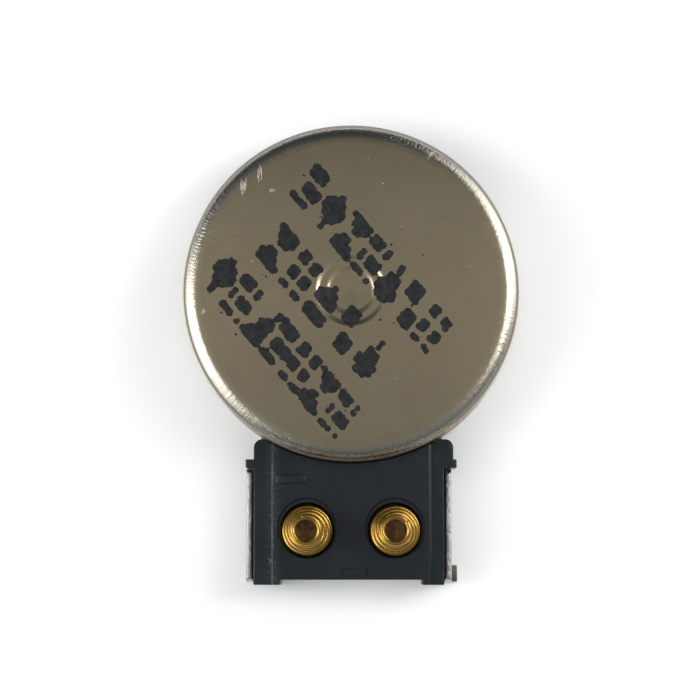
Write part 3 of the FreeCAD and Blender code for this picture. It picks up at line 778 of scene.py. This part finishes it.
def ink_field(xs, ys):
    """How inky each grid point is: above 1 is inked. Neighbouring dots flow together."""
    field = np.zeros((len(ys), len(xs)))
    gx, gy = np.meshgrid(xs, ys)
    for x, y, radius in mark_dots():
        distance = ((gx - x) ** 2 + (gy - y) ** 2) / radius**2
        field += np.exp(INK_SPREAD * (1 - distance))
    rough = np.array([[ragged(x, y) for x in xs] for y in ys])
    return field * (1 + rough)


def make_marks():
    """The ink as one thin layer that follows the cover, outlined where the field crosses 1."""
    xs = ys = np.arange(-INK_REACH, INK_REACH, INK_STEP)
    level = ink_field(xs, ys) - 1
    points, known, faces = [], {}, []

    def vertex(a, b):
        """The vertex on grid corner a, or where the outline crosses from corner a to corner b."""
        key = (a, b) if a <= b else (b, a)
        if key not in known:
            (i, j), (k, m) = key
            share = 0.0 if key[0] == key[1] else level[j, i] / (level[j, i] - level[m, k])
            x = xs[i] + (xs[k] - xs[i]) * share
            y = ys[j] + (ys[m] - ys[j]) * share
            known[key] = len(points)
            points.append((x, y, cover_height(math.hypot(x, y)) - INK_SINK))
        return known[key]

    for j, i in np.ndindex(len(ys) - 1, len(xs) - 1):
        corners = [(i, j), (i + 1, j), (i + 1, j + 1), (i, j + 1)]
        inked = [level[c[1], c[0]] > 0 for c in corners]
        if not any(inked):
            continue
        outline = []
        for k in range(4):
            here, there = corners[k], corners[(k + 1) % 4]
            if inked[k]:
                outline.append(vertex(here, here))
            if inked[k] != inked[(k + 1) % 4]:
                outline.append(vertex(here, there))
        faces.append(outline)
    marks = mesh_object("printed_marks", points, faces)
    return finish_piece(thicken(marks, INK_HEIGHT, 1), "motor", ink())


# Groups of hairline scratches on the cover: x, y, direction, length, spread across and number
NICKS = [
    (-2.70, 3.58, 88, 0.62, 0.11, 4),
    (-3.19, 3.09, 86, 0.52, 0.15, 6),
    (-2.32, 2.98, 70, 0.16, 0.12, 4),
    (2.40, 4.08, 58, 0.36, 0.09, 4),
    (-2.93, 0.86, 30, 0.08, 0.03, 2),
    (0.50, 3.94, 25, 0.10, 0.02, 1),
    (0.95, 3.17, 150, 0.08, 0.02, 1),
    (1.50, 1.92, 15, 0.06, 0.02, 1),
    (-4.35, -0.62, 100, 0.18, 0.08, 3),
    (3.55, 0.72, 12, 0.26, 0.0, 1),
    (-4.10, -1.05, 14, 0.30, 0.0, 1),
    (1.30, -2.60, 170, 0.12, 0.0, 1),
]
NICK_WIDTH = 0.013
NICK_THICKNESS = 0.004


def nick_lines():
    """Every hairline as its middle, its direction and its length, a little uneven within its group."""
    random = np.random.default_rng(11)
    lines = []
    for x, y, degrees, length, spread, count in NICKS:
        along = heading(degrees)
        across = Vector((-along.y, along.x))
        for i in range(count):
            aside = spread * (i / max(count - 1, 1) - 0.5)
            slip = random.uniform(-0.2, 0.2) * length * min(count - 1, 1)
            share = random.uniform(0.45, 1.0) if count > 1 else 1.0
            lines.append((Vector((x, y)) + across * aside + along * slip, along, length * share))
    return lines


def make_nicks():
    """Small bright nicks in the cover's plating, each a thin raised burr with pointed ends."""
    points, faces = [], []
    steps = 12
    for midpoint, along, length in nick_lines():
        across = Vector((-along.y, along.x))
        left, middle, right = [], [], []
        for i in range(steps + 1):
            share = 2 * i / steps - 1
            wide = NICK_WIDTH / 2 * max(1 - share**2, 0.0) ** 0.6 + 0.0005
            wobble = 0.006 * math.sin(9 * share + length * 50)
            centre = midpoint + along * share * length / 2 + across * wobble
            for row, offset, lift in ((left, wide, 0), (middle, 0, wide * 0.3), (right, -wide, 0)):
                spot = centre + across * offset
                row.append(len(points))
                points.append((spot.x, spot.y, cover_height(spot.length) + lift))
        for i in range(steps):
            faces.append((left[i + 1], left[i], middle[i], middle[i + 1]))
            faces.append((middle[i + 1], middle[i], right[i], right[i + 1]))
    nicks = thicken(mesh_object("cover_nicks", points, faces), NICK_THICKNESS, -1)
    material = bright_metal("bare_nick", (0.70, 0.66, 0.56), (0.58, 0.53, 0.43), 0.42, 30, 0.001)
    return finish_piece(nicks, "motor", material)


# The base plate


def plate_outline():
    """The plate seen from above: the disc, the neck, and the tail with a recess between its feet."""
    south, toe = PLATE_LOW.y, BLOCK_HALF - TOE_WIDTH
    left, right = -LEFT_FLANGE - TAIL_EXTRA, RIGHT_FLANGE + TAIL_EXTRA
    turn = math.degrees(math.acos(NECK_HALF / CAN_RADIUS))
    outline = arc((0, 0), CAN_RADIUS, -turn, 180 + turn, 220)
    outline += [(-NECK_HALF, FLANGE_NORTH), (left, FLANGE_NORTH), (left, south)]
    outline += [(-toe, south), (-toe, south + TAIL_RECESS), (toe, south + TAIL_RECESS), (toe, south)]
    return outline + [(right, south), (right, FLANGE_NORTH), (NECK_HALF, FLANGE_NORTH)]


def make_flange(side, face):
    """One bent-up flange. face is how far its inner face stands from the middle."""
    south, rise, inset = PLATE_LOW.y, FLANGE_TOP - CREST_RADIUS, FLANGE_TOP - FLANGE_CORNER
    bend = (face + TAIL_EXTRA, BEND_RADIUS)
    section = [(BEND_START, 0), (bend[0], 0)] + arc(bend, BEND_RADIUS, -90, 0, 8)[1:]
    section += arc((face + SHEET - CREST_RADIUS, rise), CREST_RADIUS, 0, 90, 6)
    section += arc((face + CREST_RADIUS, rise), CREST_RADIUS, 90, 180, 6)
    section += [(face, SHEET), (BEND_START, SHEET)]
    section = [(side * x, z) for x, z in section]
    if side < 0:
        section.reverse()
    near = [(x, FLANGE_NORTH, z) for x, z in section]
    far = [(x, south, z) for x, z in section]
    side_view = [(south, -1), (FLANGE_NORTH, -1)]
    side_view += arc((FLANGE_NORTH - FLANGE_CORNER, inset), FLANGE_CORNER, 0, 90, 8)
    side_view += arc((south + FLANGE_CORNER, inset), FLANGE_CORNER, 90, 180, 8)
    return trimmed(extruded("flange", near, far), side_view)


def make_plate():
    """The stamped plate: disc, tail, two bent-up flanges and two feet, with eased sheared edges."""
    plate = round_edges(prism("plate", plate_outline(), 0, SHEET), PLATE_ROUND)
    extras = []
    for side, face in ((-1, LEFT_FLANGE), (1, RIGHT_FLANGE)):
        extras.append(make_flange(side, face))
        west, east = sorted((side * FOOT_START, side * FOOT_REACH))
        foot = prism("foot", rectangle(west, east, PLATE_LOW.y, FOOT_NORTH), 0, SHEET)
        extras.append(round_edges(foot, PLATE_ROUND))
    combine(plate, extras, "UNION")
    return finish_piece(plate, "motor", PLATE_METAL, ["base_plate"], flats=True)


# The contact block


def block_outline():
    """The block seen from above: two toes to the south, and horns either side of the can's seat."""
    half, toe = BLOCK_HALF, BLOCK_HALF - TOE_WIDTH
    turn = math.degrees(math.asin(-BLOCK_NORTH / SEAT_RADIUS))
    south = [(-half, TOE_SOUTH), (-toe, TOE_SOUTH), (-toe, BLOCK_SOUTH)]
    outline = south + [(-x, y) for x, y in reversed(south)]
    outline += arc((half - HORN_RADIUS, BLOCK_NORTH - HORN_RADIUS), HORN_RADIUS, 0, 90, 8)
    outline += arc((0, 0), SEAT_RADIUS, -turn, turn - 180, 48)
    outline += arc((HORN_RADIUS - half, BLOCK_NORTH - HORN_RADIUS), HORN_RADIUS, 90, 180, 8)
    return outline


def mouth_cutter(side):
    """What a well's shallow mouth takes away: a disc that flares into a rounded rim."""
    floor, brim = BLOCK_TOP - MOUTH_DEPTH, MOUTH_RADIUS + MOUTH_RIM
    profile = [(0, floor), (MOUTH_RADIUS, floor)]
    profile += arc((brim, BLOCK_TOP - MOUTH_RIM), MOUTH_RIM, 180, 90, 5)
    profile += [(brim, CUT_TOP), (0, CUT_TOP)]
    cutter = lathe("mouth", profile, 96)
    cutter.data.transform(Matrix.Translation((side * SPRING_X, MOUTH_SOUTH, 0)))
    return cutter


def make_horn():
    """The part of the right horn that reaches further than the left one."""
    south = BLOCK_NORTH - HORN_RADIUS
    root, edge = BLOCK_HALF - HORN_ROOT, BLOCK_HALF + HORN_EXTRA
    outline = [(root, EAR_SOUTH), (edge, EAR_SOUTH)]
    outline += arc((edge - HORN_RADIUS, south), HORN_RADIUS, 0, 90, 8) + [(root, BLOCK_NORTH)]
    horn = round_edges(prism("horn", outline, LUG_FLOOR, LEDGE_TOP), LUG_ROUND)
    seat = prism("seat", circle((0, 0), SEAT_RADIUS, 256), 0, CUT_TOP)
    return combine(horn, [seat], "DIFFERENCE")


def make_block():
    """The moulded block. Its edges are rounded before the wells are cut and the ears, bar and horn added."""
    block = prism("block", block_outline(), SHEET, BLOCK_TOP)
    relief = rectangle(RIGHT_FLANGE - FLANGE_GAP, CUT_SIDE, CUT_SOUTH, EAR_SOUTH)
    cuts = [prism("relief", relief, -1, CUT_TOP)]
    for side in (-1, 1):
        west, east = sorted((side * (BLOCK_HALF - LEDGE_WIDTH), side * CUT_SIDE))
        cuts.append(prism("ledge", rectangle(west, east, CUT_SOUTH, -2), LEDGE_TOP, CUT_TOP))
    round_edges(combine(block, cuts, "DIFFERENCE"), BLOCK_ROUND)

    channel = rectangle(-CHANNEL_HALF, CHANNEL_HALF, CUT_SOUTH, -3)
    cuts = [prism("channel", channel, SHEET - 1, FLEX_TOP)]
    for side in (-1, 1):
        cuts.append(prism("well", circle((side * SPRING_X, WELL_SOUTH), WELL_RADIUS), 0, CUT_TOP))
        cuts.append(mouth_cutter(side))
    cuts.append(prism("gate", rectangle(*GATE), BLOCK_TOP - GATE_DEPTH, CUT_TOP))
    combine(block, cuts, "DIFFERENCE")

    adds = []
    for side in (-1, 1):
        west, east = sorted((side * (BLOCK_HALF - EAR_REACH), side * (BLOCK_HALF + EAR_REACH)))
        ear = prism("ear", rectangle(west, east, EAR_SOUTH, EAR_NORTH), LUG_FLOOR, LEDGE_TOP)
        adds.append(round_edges(ear, LUG_ROUND))
    bar = prism("bar", rectangle(*BAR), BLOCK_TOP - BAR_ROOT, BLOCK_TOP + BAR_RISE)
    adds += [round_edges(bar, BAR_ROUND), make_horn()]
    combine(block, adds, "UNION")
    return finish_piece(
        block, "motor", BLOCK_PLASTIC, ["contact_block"], sharp=50, flats=True
    )


# The circuit under the block


def make_circuit():
    """The flexible circuit and its two tracks, flush in it, with round pads under the springs."""
    turn = math.degrees(math.acos(TAIL_HALF / FLEX_HIGH.x))
    outline = arc((0, 0), FLEX_HIGH.x, -turn, 180 + turn, 160)
    outline += [(-TAIL_HALF, FLEX_LOW.y), (TAIL_HALF, FLEX_LOW.y)]
    flex = prism("circuit", outline, SHEET, FLEX_TOP)
    cuts = [prism("hole", circle((0, 0), SHAFT_HOLE, 64), 0, 1)]
    copper = bright_metal("gold_pad", (0.74, 0.50, 0.27), (0.56, 0.37, 0.20), 0.55, 7)
    low = FLEX_TOP - TRACK_THICKNESS
    for label, side, end in (("left", -1, 1.15), ("right", 1, -0.6)):
        pad = circle((side * SPRING_X, SPRING_SOUTH), PAD_RADIUS, 96)
        middle = side * TRACK_MIDDLE
        strip = rectangle(middle - TRACK_HALF, middle + TRACK_HALF, SPRING_SOUTH, end)
        track = prism(label + "_track", pad, low, FLEX_TOP)
        combine(track, [prism("strip", strip, low, FLEX_TOP)], "UNION")
        finish_piece(track, "motor", copper, [label + "_flex_track"])
        cuts += [prism("bed", pad, low, 1), prism("bed", strip, low, 1)]
    combine(flex, cuts, "DIFFERENCE")
    film = glossy_film("amber_film", (0.30, 0.105, 0.022), (0.22, 0.070, 0.014), 0.3)
    finish_piece(flex, "motor", film, ["base_flex"])


# The contact springs


def spring_path(node):
    """The wire's centre as (radius, turn, z), from the foot on the pad up to the tip.

    A tight coil comes first, then a straight body, a cone and a tight tip.
    """
    low, high = box_mm(node)
    loose_turns = BODY_TURNS + CONE_TURNS
    rise = high.z - low.z - WIRE
    pitch = (rise - TIGHT_PITCH * (FOOT_TURNS + TIP_TURNS)) / loose_turns
    path = []
    for i in range(int((FOOT_TURNS + loose_turns + TIP_TURNS) * STEPS_PER_TURN) + 1):
        turn = i / STEPS_PER_TURN
        loose = min(max(turn - FOOT_TURNS, 0), loose_turns)
        taper = min(max((turn - FOOT_TURNS - BODY_TURNS) / CONE_TURNS, 0), 1)
        radius = COIL_RADIUS + taper * (TIP_RADIUS - COIL_RADIUS)
        path.append((radius, turn, low.z + WIRE / 2 + TIGHT_PITCH * (turn - loose) + pitch * loose))
    return path


def wire_mesh(name, path, centre):
    """Round wire along a path that winds about a centre, with rounded cut ends."""
    points, rings = [], []
    for i, spot in enumerate(path):
        ahead = (path[min(i + 1, len(path) - 1)] - path[max(i - 1, 0)]).normalized()
        outward = Vector((spot.x - centre.x, spot.y - centre.y, 0)).normalized()
        up = ahead.cross(outward).normalized()
        outward = up.cross(ahead)
        end = min(i, len(path) - 1 - i)
        size = WIRE / 2 * END_SIZES[min(end, len(END_SIZES) - 1)]
        rings.append(list(range(len(points), len(points) + WIRE_SIDES)))
        for k in range(WIRE_SIDES):
            a = 2 * math.pi * k / WIRE_SIDES
            points.append(spot + outward * size * math.cos(a) + up * size * math.sin(a))
    faces = [tuple(reversed(rings[0])), tuple(rings[-1])]
    for here, there in zip(rings, rings[1:]):
        for k in range(WIRE_SIDES):
            j = (k + 1) % WIRE_SIDES
            faces.append((here[k], here[j], there[j], there[k]))
    return mesh_object(name, points, faces)


def make_spring(label, side, start):
    """One contact spring. start is where its foot is, in degrees."""
    node = label + "_contact_spring"
    centre = Vector((side * SPRING_X, SPRING_SOUTH, 0))
    path = []
    for radius, turn, z in spring_path(node):
        angle = math.radians(start) + 2 * math.pi * turn
        path.append(centre + Vector((radius * math.cos(angle), radius * math.sin(angle), z)))
    spring = wire_mesh(label + "_spring", path, centre)
    finish_piece(spring, "motor", GOLD, [node], sharp=50)
    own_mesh(spring)


# Pieces that keep their CAD shape


def dress_nodes():
    """Gives each remaining CAD node its material."""
    washer = glossy_film("washer_film", (0.62, 0.60, 0.52), (0.70, 0.68, 0.60), 0.4)
    brush = bright_metal("brush_strip", (0.88, 0.66, 0.28), (0.76, 0.54, 0.20), 0.22, 8)
    solder = bright_metal("solder", (0.74, 0.75, 0.76), (0.56, 0.57, 0.58), 0.26, 10, 0.004)
    shaft = bright_metal("ground_steel", (0.72, 0.72, 0.71), (0.62, 0.62, 0.61), 0.14, 12, 0.001)
    magnet = bright_metal("magnet_plating", (0.30, 0.30, 0.31), (0.20, 0.20, 0.21), 0.42, 3, 0.006)
    segments = bright_metal("segment_gold", (0.90, 0.64, 0.22), (0.78, 0.52, 0.16), 0.2, 9)
    tungsten = bright_metal("tungsten", (0.34, 0.34, 0.36), (0.25, 0.25, 0.27), 0.40, 16, 0.006)
    bronze = bright_metal("sintered_bronze", (0.50, 0.31, 0.14), (0.36, 0.22, 0.10), 0.36, 22, 0.006)
    board = glossy_film("board_lacquer", (0.018, 0.105, 0.035), (0.012, 0.075, 0.026))
    resin = moulded_plastic("rotor_resin", (0.020, 0.020, 0.022), (0.032, 0.031, 0.033), 0.5)
    coil = wound_copper()
    looks = {
        "shaft": shaft,
        "ring_magnet": magnet,
        "lower_washer": washer,
        "upper_washer": washer,
        "left_brush": brush,
        "right_brush": brush,
        "brush_solder": solder,
        "coil_solder": solder,
        "rotor_board": board,
        "commutator_segments": segments,
        "rotor_frame": resin,
        "left_coil": coil,
        "right_coil": coil,
        "eccentric_weight": tungsten,
        "rotor_bearing": bronze,
    }
    for name, material in looks.items():
        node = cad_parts[name]
        node.data.materials.clear()
        node.data.materials.append(material)


# Camera, light and floor

# The room's colour by how far a direction leans to +Y, from in front of the tail to behind the can
ROOM_STOPS = [
    (-0.98, (0.070, 0.077, 0.077)),
    (-0.75, (0.120, 0.130, 0.130)),
    (-0.40, (0.170, 0.180, 0.180)),
    (0.00, (0.220, 0.220, 0.220)),
    (0.11, (0.280, 0.280, 0.280)),
    (0.26, (0.150, 0.155, 0.160)),
    (0.42, (0.070, 0.080, 0.090)),
    (0.66, (0.035, 0.042, 0.052)),
    (0.86, (0.035, 0.042, 0.052)),
    (1.00, (0.075, 0.083, 0.092)),
]


# How far a direction leans sideways before the room stops getting brighter, and how much it gains
SIDE_LEAN = 0.2
SIDE_GAIN = 2.8

CAMERA_PLACE = Vector((0.395, -8.26, 70))
CAMERA_TARGET = Vector((-0.03, -1.72, 2.5))
CAMERA_LENS = 117.87

# Softboxes: name, azimuth, elevation, distance, width, height and radiance. Azimuth 0 is +X and 90 is +Y
COOL_LIGHT = (0.96, 0.98, 1.0)
SOFTBOXES = [
    ("west_low", 190, 26, 110, 104, 96, 1.9),
    ("west_high", 187, 54, 110, 26, 36, 6.5),
    ("east_low", 26, 26, 110, 98, 96, 2.0),
    ("east_high", 13, 54, 110, 26, 36, 8.0),
]
CEILING_FILL = ("ceiling_fill", 0, 90, 260, 320, 320, 1.1)

FLOOR_REACH = 400
FLOOR_DROP = 0.004


def make_camera():
    """High over the tail end and tipped a little towards the can."""
    data = bpy.data.cameras.new("camera")
    data.sensor_width = 36
    data.lens = CAMERA_LENS
    data.clip_start = 0.001
    data.clip_end = 2
    camera = bpy.data.objects.new("camera", data)
    bpy.context.scene.collection.objects.link(camera)
    camera.location = CAMERA_PLACE * MM
    back = (CAMERA_PLACE - CAMERA_TARGET).normalized()
    right = Vector((0, 1, 0)).cross(back).normalized()
    camera.rotation_mode = "QUATERNION"
    camera.rotation_quaternion = Matrix((right, back.cross(right), back)).transposed().to_quaternion()
    bpy.context.scene.camera = camera


def softbox(name, azimuth, elevation, distance, width, height, radiance, tint=(1, 1, 1), glossy=True):
    """A rectangular light that faces the motor. Angles are in degrees and sizes in millimetres.

    Without glossy it only lights what is matte, and isn't mirrored in the metal.
    """
    data = bpy.data.lights.new(name, "AREA")
    data.shape = "RECTANGLE"
    data.size = width * MM
    data.size_y = height * MM
    data.energy = radiance * math.pi * data.size * data.size_y
    data.color = tint
    lamp = bpy.data.objects.new(name, data)
    bpy.context.scene.collection.objects.link(lamp)
    a, e = math.radians(azimuth), math.radians(elevation)
    towards = Vector((math.cos(a) * math.cos(e), math.sin(a) * math.cos(e), math.sin(e)))
    lamp.location = towards * distance * MM
    lamp.rotation_mode = "QUATERNION"
    lamp.rotation_quaternion = lamp.location.to_track_quat("Z", "Y")
    lamp.visible_camera = False
    lamp.visible_glossy = glossy


def make_studio():
    """A room with the ROOM_STOPS colours that is brighter to both sides, and its lamps.

    Each side has a low wide and a high narrow softbox, and a fill overhead whitens the floor.
    """
    world = bpy.data.worlds.new("room")
    bpy.context.scene.world = world
    world.use_nodes = True
    tree = world.node_tree
    tree.nodes.clear()
    place = add_node(tree, "TexCoord").outputs["Generated"]
    leans = add_node(tree, "SeparateXYZ", {}, {0: place}).outputs
    north = add_node(tree, "Math", {"operation": "MULTIPLY_ADD"}, {0: leans["Y"], 1: 0.5, 2: 0.5})
    ramp = add_node(tree, "ValToRGB", {}, {"Fac": north.outputs[0]})
    ramp.color_ramp.interpolation = "EASE"
    elements = ramp.color_ramp.elements
    while len(elements) < len(ROOM_STOPS):
        elements.new(0.5)
    for element, (lean, colour) in zip(elements, ROOM_STOPS):
        element.position = lean / 2 + 0.5
        element.color = (*colour, 1)
    aside = add_node(tree, "Math", {"operation": "ABSOLUTE"}, {0: leans["X"]}).outputs[0]
    capped = add_node(tree, "Math", {"operation": "MINIMUM"}, {0: aside, 1: SIDE_LEAN}).outputs[0]
    gain = add_node(tree, "Math", {"operation": "MULTIPLY_ADD"}, {0: capped, 1: SIDE_GAIN, 2: 1.0})
    inputs = {"Color": ramp.outputs["Color"], "Strength": gain.outputs[0]}
    background = add_node(tree, "Background", {}, inputs)
    add_node(tree, "OutputWorld", {}, {"Surface": background.outputs[0]})
    for lamp in SOFTBOXES:
        softbox(*lamp, tint=COOL_LIGHT)
    softbox(*CEILING_FILL, glossy=False)


def make_floor():
    """A wide pale floor just under the plate."""
    edge = rectangle(-FLOOR_REACH, FLOOR_REACH, -FLOOR_REACH, FLOOR_REACH)
    floor = mesh_object("floor", [(x, y, -FLOOR_DROP) for x, y in edge], [(0, 1, 2, 3)])
    floor.data.transform(Matrix.Scale(MM, 4))
    floor.data.materials.append(floor_paint())


make_camera()
make_studio()
make_floor()
bpy.context.scene.view_settings.view_transform = "Standard"
make_cover()
make_welds()
make_marks()
make_nicks()
make_plate()
make_block()
make_circuit()
make_spring("left", -1, 200)
make_spring("right", 1, 130)
dress_nodes()
